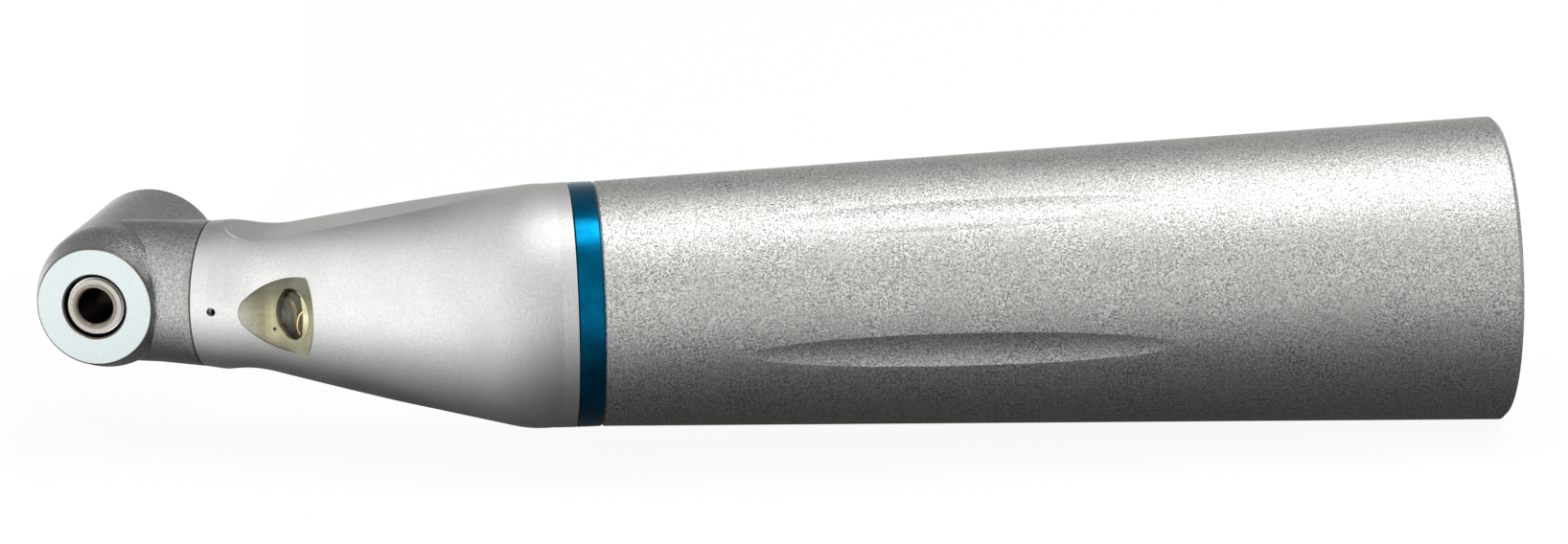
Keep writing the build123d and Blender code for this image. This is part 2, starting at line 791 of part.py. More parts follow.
with BuildPart() as front_sleeve:
    # From the ring to the bend, round the bend's outer side as part of a ball, and along the neck.
    spin(
        handle,
        (ring_front, 0),
        (ring_front, ring_radius),
        (bend_at, shoulder_radius - shoulder_lift),
        (bend_at, 0),
    )
    with BuildSketch(neck, mode=Mode.PRIVATE) as outline:
        with BuildLine():
            ball_start = (-ball_back, sqrt(shoulder_radius**2 - ball_back**2))
            ball_end = (shoulder_end, sqrt(shoulder_radius**2 - shoulder_end**2))
            taper_end = (taper_end_at, taper_end_radius)
            nose = (nose_at, nose_radius)
            ThreePointArc(ball_start, (0, shoulder_radius), ball_end)
            Polyline(ball_end, (taper_middle_at, taper_middle_radius), taper_end)
            ThreePointArc(taper_end, ((taper_end_at + nose_at) / 2, nose_radius + 0.03), nose)
            Polyline(
                nose,
                (nose_at + nose_setback / 2, (nose_radius + seam_radius) / 2 + 0.04),
                (seam_length, seam_radius),
                (seam_length, 0),
                (-ball_back, 0),
                ball_start,
            )
        make_face()
    revolve(outline.sketch, axis=Axis(neck.origin, neck.x_dir))
    rod(handle, frame_start, ring_front, rim_radius, mode=Mode.SUBTRACT)
    # Milled flats on both sides, run out by the cutter's radius towards the head.
    for side in (1, -1):
        with BuildSketch(side_plane, mode=Mode.PRIVATE) as flat:
            with BuildLine():
                slope = radians(flat_slope)
                run_in = flat_low_at - flat_cutter * sin(slope)
                run_in_height = flat_low + flat_cutter * (1 - cos(slope))
                back_height = run_in_height + run_in * tan(slope)
                run_out = flat_low_at + flat_cutter * sin(radians(flat_run_out))
                run_out_height = flat_low + flat_cutter * (1 - cos(radians(flat_run_out)))
                Line((0, side * back_height), (run_in, side * run_in_height))
                ThreePointArc(
                    (run_in, side * run_in_height),
                    (flat_low_at, side * flat_low),
                    (run_out, side * run_out_height),
                )
                Polyline(
                    (run_out, side * run_out_height),
                    (run_out, side * rim_radius),
                    (0, side * rim_radius),
                    (0, side * back_height),
                )
            make_face()
        extrude(flat.sketch, amount=rim_radius, both=True, mode=Mode.SUBTRACT)
    pipe(bend_route(ring_front, bore_leg), sleeve_bore, mode=Mode.SUBTRACT)
    spin(
        neck,
        (bore_leg - lap, 0),
        (bore_leg - lap, sleeve_bore),
        (bore_leg, sleeve_bore),
        (taper_middle_at, taper_middle_radius - neck_wall),
        (taper_end_at, flat_low - flat_wall),
        (nose_start, neck_tube_radius),
        (seam_length, neck_tube_radius),
        (seam_length, 0),
        mode=Mode.SUBTRACT,
    )
    add(insert_blank.part, mode=Mode.SUBTRACT)
    add(spray_passage.part, mode=Mode.SUBTRACT)
    add(lead_passage.part, mode=Mode.SUBTRACT)
    # Spray outlet, and the drilling that joins it to the tube's end.
    outlet_bottom = nose_line_radius + 0.1
    outlet = neck.from_local_coords((spray_outlet_at, outlet_bottom + 1, 0))
    with Locations(Plane(origin=outlet, z_dir=-neck.y_dir)):
        Cylinder(spray_outlet_radius, 2, mode=Mode.SUBTRACT)
    drill_start = Vector(beside(neck, spray_outlet_at, outlet_bottom + 0.05, 0))
    drill_end = Vector(beside(neck, spray_outlet_at - spray_bore_radius, nose_line_radius, spray_side))
    with Locations(Plane(origin=(drill_start + drill_end) / 2, z_dir=drill_end - drill_start)):
        Cylinder(spray_bore_radius, (drill_end - drill_start).length, mode=Mode.SUBTRACT)
save(front_sleeve, "front_sleeve")

# ---------------------------------------------------------------- lamp window

# The lamp is set square in the window's rear slope, which rises from where it meets the front ramp.
ramp = tan(radians(window_slope))
rear_slope = tan(radians(lamp_tilt))
lamp_height = window_tip_depth - lamp_drop
valley_at = lamp_at + (lamp_height - window_tip_depth + lamp_setback * ramp) / (rear_slope + ramp)
valley_height = window_tip_depth - (window_front - valley_at) * ramp
slope_end = window_rear - lap
lamp_direction = neck.x_dir * sin(radians(lamp_tilt)) + neck.y_dir * cos(radians(lamp_tilt))
lamp_point = neck.from_local_coords((lamp_at, lamp_height, 0))
lamp_axis = Plane(origin=lamp_point, x_dir=lamp_direction, z_dir=(0, 0, 1))

with BuildPart() as light_window:
    add(insert_blank.part)
    with BuildSketch(neck, mode=Mode.PRIVATE) as above:
        with BuildLine():
            Polyline(
                (window_front, window_tip_depth),
                (valley_at, valley_height),
                (slope_end, valley_height + (valley_at - slope_end) * rear_slope),
                (slope_end, rim_radius),
                (window_front, rim_radius),
                close=True,
            )
        make_face()
    above_floor = extrude(above.sketch, amount=ring_radius, both=True, mode=Mode.PRIVATE)
    pocket = extrude(window_outline(0), amount=-ring_radius, mode=Mode.PRIVATE)
    add(pocket & above_floor, mode=Mode.SUBTRACT)
    rod(lamp_axis, -lamp_depth, lamp_radius, lamp_radius, mode=Mode.SUBTRACT)
    add(spray_passage.part, mode=Mode.SUBTRACT)
    add(lead_passage.part, mode=Mode.SUBTRACT)
save(light_window, "light_window")

lamp_rim = 0.05
cup_wall = 0.25
cup_floor = -0.35
cup_floor_radius = 1.05
chip_height = 0.12
dome_rise = 0.75

with BuildPart() as lamp_cup:
    spin(
        lamp_axis,
        (-lamp_depth, 0),
        (-lamp_depth, lamp_radius),
        (lamp_rim, lamp_radius),
        (lamp_rim, lamp_radius - cup_wall),
        (cup_floor, cup_floor_radius),
        (cup_floor, 0),
    )
    rod(neck, taper_middle_at, seam_length, neck_tube_radius, mode=Mode.SUBTRACT)
    add(lead_passage.part, mode=Mode.SUBTRACT)
save(lamp_cup, "lamp_cup")

with BuildPart() as lamp_chip:
    chip_middle = lamp_point + lamp_direction * (cup_floor + chip_height / 2)
    with Locations(Plane(origin=chip_middle, x_dir=(0, 0, 1), z_dir=lamp_direction)):
        Box(1.0, 0.8, chip_height)
save(lamp_chip, "lamp_chip")

with BuildPart() as lamp_lens:
    with BuildSketch(lamp_axis) as dome:
        with BuildLine():
            lens_edge = lamp_radius - running
            lens_ball = (lens_edge**2 + dome_rise**2) / (2 * dome_rise)
            shoulder_rise = sqrt(lens_ball**2 - lens_edge**2 / 4) - (lens_ball - dome_rise)
            ThreePointArc(
                (lamp_rim, lens_edge),
                (lamp_rim + shoulder_rise, lens_edge / 2),
                (lamp_rim + dome_rise, 0),
            )
            Polyline((lamp_rim + dome_rise, 0), (lamp_rim, 0), (lamp_rim, lens_edge))
        make_face()
    revolve(dome.sketch, axis=Axis(lamp_axis.origin, lamp_axis.x_dir))
save(lamp_lens, "lamp_lens")

with BuildPart() as lamp_leads:
    lead_form(lead_radius)
save(lamp_leads, "lamp_leads")

# ---------------------------------------------------------------- head housing

body_back = back_length - cap_flange
pinion_bore = head_gear_radius + 0.4
face_bevel = 0.12
barrel_radius = 4.7
barrel_slope = radians(18.3)
barrel_round = 4.6
round_radius = barrel_radius - barrel_round * (1 - cos(barrel_slope))
round_front = face_length - face_bevel - (round_radius - face_radius) / tan(barrel_slope)
round_rear = round_front - barrel_round * sin(barrel_slope)
round_middle = (
    round_rear + barrel_round * sin(barrel_slope / 2),
    barrel_radius - barrel_round * (1 - cos(barrel_slope / 2)),
)
stub_dip = 0.65
dip_at = seam_length + stub_length / 2

# The neck's stub: round at the seam, and lowered on the bur's side towards the barrel.
with BuildPart() as stub:
    spin(
        neck,
        (seam_length, 0),
        (seam_length, seam_radius),
        (neck_length, barrel_radius),
        (neck_length, 0),
    )
    stub_route = (
        neck.from_local_coords((2 * seam_length - dip_at, stub_dip, 0)),
        neck.from_local_coords((dip_at, -stub_dip, 0)),
        neck.from_local_coords((neck_length + barrel_radius, -stub_dip, 0)),
    )
    pipe(stub_route, seam_radius, mode=Mode.INTERSECT)

with BuildPart() as head_housing:
    with BuildSketch(head):
        with BuildLine():
            round_start = (round_front, round_radius)
            Polyline(
                (face_length, 0),
                (face_length, face_radius - face_bevel),
                (face_length - face_bevel, face_radius),
                round_start,
            )
            ThreePointArc(round_start, round_middle, (round_rear, barrel_radius))
            Polyline(
                (round_rear, barrel_radius),
                (chuck_bearing_front, barrel_radius),
                (-body_back, barrel_edge),
                (-body_back, 0),
                (face_length, 0),
            )
        make_face()
    revolve(axis=Axis(head.origin, head.x_dir))
    add(stub.part)
    spin(
        head,
        (face_length + 1, 0),
        (face_length + 1, face_hole_radius + face_bevel),
        (face_length, face_hole_radius + face_bevel),
        (face_length - face_bevel, face_hole_radius),
        (seat_front, face_hole_radius),
        (seat_front, spindle_seat_radius),
        (seat_rear - 0.1, spindle_seat_radius),
        (seat_rear - 0.1, chamber_radius),
        (cap_front, chamber_radius),
        (cap_front, cap_thread_radius),
        (-body_back - 1, cap_thread_radius),
        (-body_back - 1, 0),
        mode=Mode.SUBTRACT,
    )
    rod(neck, seam_length - 1, nose_bearing_end, neck_tube_radius, mode=Mode.SUBTRACT)
    rod(neck, nose_bearing_end, neck_length - head_gear_radius + 0.6, pinion_bore, mode=Mode.SUBTRACT)
save(head_housing, "head_housing")

# ---------------------------------------------------------------- head cap, button and spring

lip_front = -back_length + 0.66
button_front = lip_front + button_flange + running
button_top = -back_length - 0.05
dome_height = 0.3
dome_edge = button_radius - 0.15
dome_radius = (dome_edge**2 + dome_height**2) / (2 * dome_height)
pin_radius = 0.7
pin_length = 1.2

with BuildPart() as head_cap:
    spin(
        head,
        (cap_front, cap_thread_radius),
        (-body_back, cap_thread_radius),
        (-body_back, barrel_edge),
        (-back_length + 0.35, barrel_edge),
        (-back_length + 0.1, barrel_edge - 0.12),
        (-back_length, barrel_edge - 0.4),
        (-back_length, button_radius + running + 0.15),
        (-back_length + 0.15, button_radius + running),
        (lip_front, button_radius + running),
        (lip_front, chamber_radius),
        (cap_front, chamber_radius),
    )
save(head_cap, "head_cap")

with BuildPart() as push_button:
    with BuildSketch(head):
        with BuildLine():
            Polyline(
                (button_top - dome_height, 0),
                (button_front, 0),
                (button_front, chamber_radius - running),
                (lip_front + running, chamber_radius - running),
                (lip_front + running, button_radius),
                (button_top + 0.1, button_radius),
                (button_top, dome_edge),
            )
            ThreePointArc(
                (button_top, dome_edge),
                (button_top - dome_height + dome_radius - sqrt(dome_radius**2 - dome_edge**2 / 4), dome_edge / 2),
                (button_top - dome_height, 0),
            )
        make_face()
    revolve(axis=Axis(head.origin, head.x_dir))
save(push_button, "push_button")

with BuildPart() as button_pin:
    rod(head, button_front, button_front + pin_length, pin_radius)
save(button_pin, "button_pin")

spring_rear = button_front + 0.02
spring_front = retainer_rear - 0.02
spring_middle = (spring_rear + spring_front) / 2
spring_leaf = 0.14

with BuildPart() as button_spring:
    spin(
        head,
        (spring_front, 3.1),
        (spring_middle, 2.2),
        (spring_rear, 3.1),
        (spring_rear + spring_leaf, 3.1),
        (spring_middle, 2.2 + spring_leaf * 1.2),
        (spring_front - spring_leaf, 3.1),
    )
save(button_spring, "button_spring")

# ---------------------------------------------------------------- spindle and chuck

tip = face_length - 0.07
collet_front = -3.0
collet_rear = -4.5
spindle_rear = retainer_rear + 0.1
pressed_gap = 0.05
pusher_rear = button_front + pin_length + button_travel - pusher_travel + pressed_gap
pusher_front = collet_rear - pusher_travel - pressed_gap

with BuildPart() as spindle:
    spin(
        head,
        (tip, bur_radius + 0.12),
        (tip, spindle_radius),
        (chuck_seat, spindle_radius),
        (chuck_seat, chuck_radius - 0.05),
        (chuck_bearing_front, chuck_radius - 0.05),
        (chuck_bearing_front, chuck_radius),
        (spindle_rear, chuck_radius),
        (spindle_rear, 0.85),
        (spindle_rear + 0.25, 0.85),
        (spindle_rear + 0.25, collet_radius),
        (collet_front, collet_radius),
        (collet_front, bur_radius),
        (tip - 0.12, bur_radius),
    )
save(spindle, "spindle")

with BuildPart() as spindle_collar:
    tube(head, seat_front + 0.05, tip - 0.05, collar_radius, spindle_radius)
save(spindle_collar, "spindle_collar")

with BuildPart() as chuck_collet:
    tube(head, collet_rear, collet_front, collet_radius, bur_radius)
    with Locations(Plane(origin=head.from_local_coords((collet_rear, 0, 0)), z_dir=head.x_dir)):
        with PolarLocations(1.4, 3):
            Box(1.2, 0.3, 2.0, mode=Mode.SUBTRACT)
save(chuck_collet, "chuck_collet")

with BuildPart() as chuck_pusher:
    spin(
        head,
        (pusher_rear, 0),
        (pusher_rear, 0.8),
        (pusher_front - 0.6, 0.8),
        (pusher_front - 0.6, collet_radius - running),
        (pusher_front, collet_radius - running),
        (pusher_front, bur_radius - 2 * running),
        (pusher_front + 0.35, 0.7),
        (pusher_front + 0.35, 0),
    )
save(chuck_pusher, "chuck_pusher")

with BuildPart() as bearing_retainer:
    tube(head, retainer_rear, chuck_bearing_rear, chamber_radius, 2.5)
save(bearing_retainer, "bearing_retainer")
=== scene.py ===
"""Looks for the contra-angle handpiece: its materials, three fine pieces, the studio and the camera."""

import json
import math

import bpy
from mathutils import Matrix, Vector


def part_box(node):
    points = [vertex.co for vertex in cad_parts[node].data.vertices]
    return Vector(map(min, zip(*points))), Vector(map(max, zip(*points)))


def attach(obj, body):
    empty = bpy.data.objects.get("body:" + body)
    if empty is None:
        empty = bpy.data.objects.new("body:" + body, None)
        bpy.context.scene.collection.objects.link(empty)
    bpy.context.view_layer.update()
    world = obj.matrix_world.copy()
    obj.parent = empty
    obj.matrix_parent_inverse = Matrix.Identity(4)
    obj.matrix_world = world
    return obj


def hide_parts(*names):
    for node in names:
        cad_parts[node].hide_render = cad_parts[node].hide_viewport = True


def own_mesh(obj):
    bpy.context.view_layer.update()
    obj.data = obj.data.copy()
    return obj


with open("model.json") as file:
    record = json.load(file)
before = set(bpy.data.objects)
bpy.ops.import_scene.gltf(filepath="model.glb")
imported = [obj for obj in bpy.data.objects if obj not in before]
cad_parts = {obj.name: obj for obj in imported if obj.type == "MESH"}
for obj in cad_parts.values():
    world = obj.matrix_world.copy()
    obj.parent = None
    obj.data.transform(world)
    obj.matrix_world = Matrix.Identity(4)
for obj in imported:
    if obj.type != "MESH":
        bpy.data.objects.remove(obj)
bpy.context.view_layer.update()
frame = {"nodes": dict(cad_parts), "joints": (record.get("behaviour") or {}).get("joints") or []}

# ---------------------------------------------------------------- axes, from the frame

# Lengths are in metres. The head's face, the lamp window and the spray outlet are on the neck's front.
joints = {joint["name"]: joint for joint in frame["joints"]}
upward = Vector((0, 0, 1))
handle_start = Vector((0, 0, 0))
handle_axis = Vector((1, 0, 0))
bend_point = Vector(joints["front_shaft_spin"]["pos_m"])
neck_axis = -Vector(joints["front_shaft_spin"]["axis"])
neck_front = upward.cross(neck_axis)
head_origin = Vector(joints["spindle_spin"]["pos_m"])
head_axis = Vector(joints["spindle_spin"]["axis"])

# The middle of the lamp in the window's slope, the way that it shines, and the way across it to the handle.
lamp_at = 0.01539
lamp_off = 0.0046
lamp_tilt = math.radians(35)
lamp_point = bend_point + neck_axis * lamp_at + neck_front * lamp_off
lamp_direction = neck_axis * math.sin(lamp_tilt) + neck_front * math.cos(lamp_tilt)
lamp_rear = neck_front * math.sin(lamp_tilt) - neck_axis * math.cos(lamp_tilt)

# ---------------------------------------------------------------- helpers

white = (1, 1, 1, 1)


class Tree:
    """A node tree of a material or world, with short ways to add and join its nodes."""

    def __init__(self, owner):
        owner.use_nodes = True
        self.owner = owner
        self.nodes = owner.node_tree.nodes
        self.links = owner.node_tree.links
        self.nodes.clear()

    def add(self, kind, settings=(), **inputs):
        """Adds a node. An input goes by its name, or by i and its number, and is a value or a socket."""
        made = self.nodes.new(kind)
        for key, value in dict(settings).items():
            setattr(made, key, value)
        for key, value in inputs.items():
            number = key[1:]
            socket = made.inputs[int(number) if number.isdigit() else key.replace("_", " ")]
            if isinstance(value, bpy.types.NodeSocket):
                self.links.new(value, socket)
            else:
                socket.default_value = value
        return made

    def place(self):
        """Position on the object, in metres in the part's own frame at rest."""
        return self.add("ShaderNodeTexCoord").outputs["Object"]

    def noise(self, scale, detail=2.0, roughness=0.5):
        """Noise with features of about 1/scale metres."""
        made = self.add(
            "ShaderNodeTexNoise", Vector=self.place(), Scale=scale, Detail=detail, Roughness=roughness
        )
        return made.outputs["Fac"]

    def spread(self, value, low, high, start=0.3, end=0.7):
        """Maps start..end to low..high and no further. Most of a noise lies in 0.3..0.7."""
        made = self.add(
            "ShaderNodeMapRange", Value=value, From_Min=start, From_Max=end, To_Min=low, To_Max=high
        )
        return made.outputs["Result"]

    def past(self, value, at, blur=0.00001):
        """0 below a value and 1 above it, with a soft edge."""
        return self.spread(value, 0.0, 1.0, at - blur, at + blur)

    def short_of(self, value, at, blur=0.00001):
        """1 below a value and 0 above it, with a soft edge."""
        return self.spread(value, 1.0, 0.0, at - blur, at + blur)

    def blend(self, share, first, second):
        """Mixes two colours."""
        return self.add("ShaderNodeMix", {"data_type": "RGBA"}, i0=share, i6=first, i7=second).outputs[2]

    def math(self, operation, first, second=0.0, third=0.0):
        """One sum on up to three values."""
        return self.add("ShaderNodeMath", {"operation": operation}, i0=first, i1=second, i2=third).outputs[0]

    def vector(self, operation, first, second=(0, 0, 0), output="Vector"):
        """One sum on two vectors."""
        made = self.add("ShaderNodeVectorMath", {"operation": operation}, i0=first, i1=second)
        return made.outputs[output]

    def scaled(self, vector, factor):
        """A vector times a value."""
        return self.add("ShaderNodeVectorMath", {"operation": "SCALE"}, i0=vector, Scale=factor).outputs[0]

    def length(self, vector):
        """How long a vector is."""
        return self.vector("LENGTH", vector, output="Value")

    def along(self, origin, axis):
        """Distance along an axis."""
        return self.vector("DOT_PRODUCT", self.vector("SUBTRACT", self.place(), origin), axis, "Value")

    def off_axis(self, origin, axis):
        """Vector from an axis to the point."""
        offset = self.vector("SUBTRACT", self.place(), origin)
        return self.vector("SUBTRACT", offset, self.scaled(axis, self.along(origin, axis)))

    def radius(self, origin, axis):
        """Distance from an axis."""
        return self.length(self.off_axis(origin, axis))

    def mesh_normal(self):
        """The mesh's own normal."""
        return self.add("ShaderNodeNewGeometry").outputs["Normal"]

    def round_normal(self, origin, axis):
        """The exact normal of a surface turned about an axis, which has no step at the mesh's seam."""
        lean = self.vector("DOT_PRODUCT", self.mesh_normal(), axis, "Value")
        outward = self.vector("NORMALIZE", self.off_axis(origin, axis))
        reach = self.math("SQRT", self.math("SUBTRACT", 1.0, self.math("MULTIPLY", lean, lean)))
        return self.vector("ADD", self.scaled(axis, lean), self.scaled(outward, reach))

    def chosen(self, share, first, second):
        """Mixes two vectors."""
        return self.add("ShaderNodeMix", {"data_type": "VECTOR"}, i0=share, i4=first, i5=second).outputs[1]

    def bump(self, height, strength, distance, normal=None):
        """A bump's normal, on top of another normal if there is one."""
        made = self.add("ShaderNodeBump", Height=height, Strength=strength, Distance=distance)
        if normal:
            self.links.new(normal, made.inputs["Normal"])
        return made.outputs["Normal"]

    def principled(self, **inputs):
        """The usual shader."""
        return self.add("ShaderNodeBsdfPrincipled", **inputs)

    def plainly_seen(self):
        """1 for the camera and through glass, which see the studio white, and 0 for the rest."""
        path = self.add("ShaderNodeLightPath")
        return self.math("MAXIMUM", path.outputs["Is Camera Ray"], path.outputs["Is Transmission Ray"])

    def finish(self, shader, output="ShaderNodeOutputMaterial"):
        """Joins the shader to the output and gives back the material or world."""
        self.links.new(shader.outputs[0], self.add(output).inputs["Surface"])
        return self.owner


def material_tree(name):
    """The tree of a new material."""
    return Tree(bpy.data.materials.new(name))


def new_object(name, data):
    """A new object in the scene."""
    made = bpy.data.objects.new(name, data)
    bpy.context.scene.collection.objects.link(made)
    return made


def paint(material, *nodes):
    """Puts a material on CAD nodes."""
    for node in nodes:
        target = frame["nodes"][node]
        target.data.materials.clear()
        target.data.materials.append(material)


def shade(color, factor):
    """A colour made lighter or darker."""
    return (color[0] * factor, color[1] * factor, color[2] * factor, 1)


# ---------------------------------------------------------------- the normals of the round casings

neck_starts = 0.00125
# Each cone is a distance along its axis, the radius there and the slope.
rear_cone = (0.0004, 0.01, 0.033642)
shoulder_cone = (neck_starts, 0.00788, -0.1627)
neck_cone = (0.0093, 0.00657, -0.179)
nose_cone = (0.0174, 0.00512, -0.065)
ball_radius = 0.00798
# How far off the round form a point may be and still count as on it.
groove_margin = 0.00002
flat_margin = 0.00009
ball_margin = 0.00006
# Behind the bend, the front sleeve is round about the handle from this radius and place on.
skirt_radius = 0.0079
skirt_starts = 0.0001


def cone_radius(tree, length, cone):
    """The radius of a cone at a distance along its axis."""
    at, radius, slope = cone
    return tree.math("MULTIPLY_ADD", length, slope, radius - slope * at)


def rear_sleeve_normal(tree):
    """Round between the finger grooves, where the sleeve is a plain cone."""
    cone = cone_radius(tree, tree.along(handle_start, handle_axis), rear_cone)
    gap = tree.math("SUBTRACT", tree.radius(handle_start, handle_axis), cone)
    turned = tree.round_normal(handle_start, handle_axis)
    return tree.vector("NORMALIZE", tree.chosen(tree.past(gap, -groove_margin), tree.mesh_normal(), turned))


def ring_normal(tree):
    """Round everywhere."""
    return tree.round_normal(handle_start, handle_axis)


def front_sleeve_normal(tree):
    """Round along the neck's cones, ball-shaped round the bend and round again behind it."""
    length = tree.along(bend_point, neck_axis)
    shoulder = cone_radius(tree, length, shoulder_cone)
    neck = cone_radius(tree, length, neck_cone)
    nose = cone_radius(tree, length, nose_cone)
    outline = tree.math("MAXIMUM", tree.math("MINIMUM", shoulder, neck), nose)
    gap = tree.math("SUBTRACT", tree.radius(bend_point, neck_axis), outline)
    on_neck = tree.math("MULTIPLY", tree.past(gap, -flat_margin), tree.past(length, neck_starts))
    from_bend = tree.vector("SUBTRACT", tree.place(), bend_point)
    ball_gap = tree.math("ABSOLUTE", tree.math("SUBTRACT", tree.length(from_bend), ball_radius))
    on_skirt = tree.math(
        "MULTIPLY",
        tree.past(tree.radius(handle_start, handle_axis), skirt_radius),
        tree.past(tree.along(bend_point, handle_axis), skirt_starts),
    )
    normal = tree.chosen(on_skirt, tree.mesh_normal(), tree.round_normal(handle_start, handle_axis))
    normal = tree.chosen(tree.short_of(ball_gap, ball_margin), normal, tree.vector("NORMALIZE", from_bend))
    normal = tree.chosen(on_neck, normal, tree.round_normal(bend_point, neck_axis))
    return tree.vector("NORMALIZE", normal)


# ---------------------------------------------------------------- details that the materials paint by place

# Along the neck from the bend: the joint with the head, and where the duller shoulder fades out.
seam_at = 0.02233
seam_half_width = 0.00006
seam_blur = 0.00002
dull_until = 0.002
plain_from = 0.007
extra_dullness = 0.16
# Along and off the head's axis: its face, the bevel round that and the hole in it.
face_at = 0.00479
face_rounding = 0.00003
bevel_depth = 0.00016
barrel_reach = 0.0045
hole_radius = 0.00213
hole_blur = 0.00002
hole_depth = 0.0008
# Off the lamp's middle, towards the handle: where the cup's side turns gilt, which keeps the painted
# reflection to that side.
gilt_from = 0.0006
gilt_blur = 0.0002

dirt = (0.05, 0.035, 0.02)
lapped_steel = (0.49, 0.54, 0.545)
dull_bevel = (0.16, 0.14, 0.115)
# Dark brown for the wall of the hole in the head's face.
hole_wall_brown = (0.12, 0.11, 0.075)
# Gilt for the cup's side towards the handle, partly a painted reflection.
gilt = (0.8, 0.72, 0.5)


def dull_shoulder(tree):
    """What the shoulder's roughness has over the neck's."""
    return tree.spread(tree.along(bend_point, neck_axis), extra_dullness, 0.0, dull_until, plain_from)


def seam_line(tree):
    """A thin line of old dirt at the joint between head and neck."""
    gap = tree.math("ABSOLUTE", tree.math("SUBTRACT", tree.along(bend_point, neck_axis), seam_at))
    return tree.short_of(gap, seam_half_width, seam_blur), dirt


def on_barrel(tree):
    """1 on the head's barrel and 0 on its neck stub."""
    return tree.short_of(tree.radius(head_origin, head_axis), barrel_reach)


def head_face(tree):
    """The head's lapped face, paler and bluer than the blasted barrel."""
    front = tree.past(tree.along(head_origin, head_axis), face_at - face_rounding)
    return tree.math("MULTIPLY", front, on_barrel(tree)), lapped_steel


def face_edge(tree):
    """The dull bevel round the face."""
    height = tree.along(head_origin, head_axis)
    band = tree.math(
        "SUBTRACT", tree.past(height, face_at - bevel_depth), tree.past(height, face_at - face_rounding)
    )
    return tree.math("MULTIPLY", band, on_barrel(tree)), dull_bevel


def hole_wall_tone(tree):
    """The wall of the hole in the face, dark brown down to a small depth."""
    inside = tree.short_of(tree.radius(head_origin, head_axis), hole_radius, hole_blur)
    outer = tree.past(tree.along(head_origin, head_axis), face_at - hole_depth)
    return tree.math("MULTIPLY", inside, outer), hole_wall_brown


def cup_gilt_and_reflection(tree):
    """The gilt side of the lamp's cup, towards the handle: partly the cup's own gilt and partly a painted
    reflection, since only this side is gilt.
    """
    return tree.past(tree.along(lamp_point, lamp_rear), gilt_from, gilt_blur), gilt


# ---------------------------------------------------------------- metals

blotch_scale = 260
blotch_share = 0.5
blotch_shade = 0.93
grain_depth = 0.00004
# The part of the fine noise over which the speckle goes from dark to light.
speckle_range = (0.36, 0.64)


def metal(
    name,
    color,
    rough,
    grain=0.0,
    grain_scale=6000,
    speckle=0.06,
    smear=0.04,
    normal=None,
    zones=(),
    rougher=None,
):
    """Bare metal.

    `grain` is how strongly its blasting stands out, `speckle` how much the tone changes with it, and
    `smear` how much the gloss changes. `normal` makes the normal that the grain sits on, each of `zones`
    gives a mask and the colour there, and `rougher` gives what is added to the roughness.
    """
    tree = material_tree(name)
    fine = tree.noise(grain_scale, 3.0, 0.65)
    broad = tree.noise(blotch_scale, 3.0, 0.55)
    speckle_share = tree.spread(fine, 0, 1, *speckle_range)
    tone = tree.blend(speckle_share, shade(color, 1 - speckle), shade(color, 1 + speckle))
    tone = tree.blend(tree.spread(broad, 0, blotch_share), tone, shade(color, blotch_shade))
    for zone in zones:
        mask, zone_color = zone(tree)
        tone = tree.blend(mask, tone, (*zone_color, 1))
    gloss = tree.spread(broad, rough - smear, rough + smear)
    if rougher:
        gloss = tree.math("ADD", gloss, rougher(tree))
    shader = tree.principled(Base_Color=tone, Metallic=1.0, Roughness=gloss)
    facing = normal(tree) if normal else None
    if grain:
        facing = tree.bump(fine, grain, grain_depth, facing)
    if facing:
        tree.links.new(facing, shader.inputs["Normal"])
    return tree.finish(shader)


paint(
    metal(
        "rear_sleeve_steel",
        (0.50, 0.502, 0.48),
        0.42,
        grain=1.0,
        grain_scale=8000,
        speckle=0.7,
        normal=rear_sleeve_normal,
    ),
    "rear_sleeve",
)
paint(
    metal(
        "front_sleeve_steel",
        (0.57, 0.572, 0.557),
        0.37,
        grain=0.35,
        grain_scale=6500,
        speckle=0.1,
        normal=front_sleeve_normal,
        zones=(seam_line,),
        rougher=dull_shoulder,
    ),
    "front_sleeve",
)
head_finish = {"color": (0.32, 0.33, 0.322), "rough": 0.3, "grain": 0.8, "grain_scale": 6500, "speckle": 0.4}
head_zones = (head_face, face_edge, hole_wall_tone, seam_line)
paint(metal("head_steel", zones=head_zones, **head_finish), "head_housing")
paint(metal("cap_steel", **head_finish), "head_cap")
paint(
    metal(
        "blue_anodised",
        (0.0005, 0.1, 0.2),
        0.24,
        grain=0.05,
        grain_scale=600,
        speckle=0.25,
        normal=ring_normal,
    ),
    "color_ring",
)
paint(metal("polished_steel", (0.6, 0.59, 0.57), 0.18), "push_button", "coupling_body")
paint(metal("collar_steel", (0.36, 0.345, 0.31), 0.25, grain=0.2, speckle=0.1), "spindle_collar")
paint(
    metal("spindle_steel", (0.2, 0.175, 0.145), 0.25, speckle=0.12),
    "spindle",
    "button_pin",
    "chuck_collet",
)
paint(
    metal("gear_steel", (0.4, 0.4, 0.42), 0.3, grain=0.1, speckle=0.1),
    "rear_shaft",
    "rear_shaft_gear",
    "front_shaft",
    "front_shaft_gear",
    "head_pinion",
    "spindle_gear",
    "drive_dog",
    "socket_snap_ring",
    "chuck_pusher",
    "bearing_retainer",
    "button_spring",
)
races = [node for node in frame["nodes"] if node.endswith("_race")]
paint(metal("bearing_steel", (0.62, 0.62, 0.64), 0.15, speckle=0.04), *races)
paint(metal("turned_steel", (0.5, 0.5, 0.5), 0.3, speckle=0.08), "neck_frame", "shaft_tube", "spray_tube")
paint(metal("core_iron", (0.3, 0.3, 0.32), 0.4, speckle=0.12), "generator_core", "generator_magnet")
paint(metal("copper_winding", (0.72, 0.36, 0.2), 0.3, grain=0.4, speckle=0.2), "generator_coil")
# The cup is gilt on its handle side only: partly its own gilt, partly a painted reflection.
paint(metal("dark_cup", (0.035, 0.03, 0.014), 0.3, speckle=0.1, zones=(cup_gilt_and_reflection,)), "lamp_cup")

# ---------------------------------------------------------------- plastics, resin and glass


